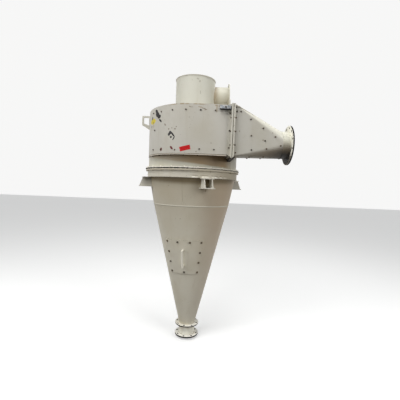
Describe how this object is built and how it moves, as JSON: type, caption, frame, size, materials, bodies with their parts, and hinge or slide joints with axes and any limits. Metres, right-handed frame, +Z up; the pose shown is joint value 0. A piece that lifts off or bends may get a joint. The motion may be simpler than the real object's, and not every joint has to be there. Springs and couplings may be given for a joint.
{
  "type": "cyclone separator",
  "caption": "Steel dust cyclone with a spiral head, side gas outlet, square to round inlet, bolted inspection door on the cone and support feet.",
  "frame": {"origin": "on the cyclone's axis, in the plane of the undersides of the four support feet", "axes": "+Z up along the cyclone's axis, +X towards the inlet flange, -Y to the front"},
  "size_m": [1.5993, 1.2991, 3.0269],
  "materials": {
    "painted_plate": "semi-gloss off-white paint, dusty",
    "painted_flange": "semi-gloss off-white paint, chipped edges",
    "seal_rubber": "matt",
    "bare_steel": "galvanised"
  },
  "bodies": {
    "root": {"roof_plate": "painted_plate", "spiral_wall": "painted_plate", "head_shell": "painted_plate", "head_floor": "painted_plate", "edge_bar": "painted_plate", "inlet_frame": "painted_flange", "frame_seal": "seal_rubber", "transition_frame": "painted_flange", "transition": "painted_plate", "inlet_pipe": "painted_plate", "inlet_flange": "painted_flange", "outlet_tube": "painted_plate", "outlet_cap": "painted_plate", "side_outlet": "painted_plate", "side_flange": "painted_flange", "lower_barrel": "painted_plate", "barrel_flange": "painted_flange", "joint_seal": "seal_rubber", "cone_flange": "painted_flange", "ring_band": "painted_plate", "band_lip": "painted_plate", "cone_upper": "painted_plate", "seam_weld": "painted_plate", "cone_lower": "painted_plate", "cone_foot_flange": "painted_flange", "discharge_neck": "painted_plate", "discharge_flange": "painted_flange", "door_seal": "seal_rubber", "inspection_door": "painted_plate", "door_handle": "painted_plate", "foot_front": "painted_flange", "foot_right": "painted_flange", "foot_rear": "painted_flange", "foot_left": "painted_flange", "left_lug": "painted_flange", "rear_lug": "painted_flange", "roof_eye": "painted_flange", "clip_plate": "bare_steel"}
  },
  "joints": []
}
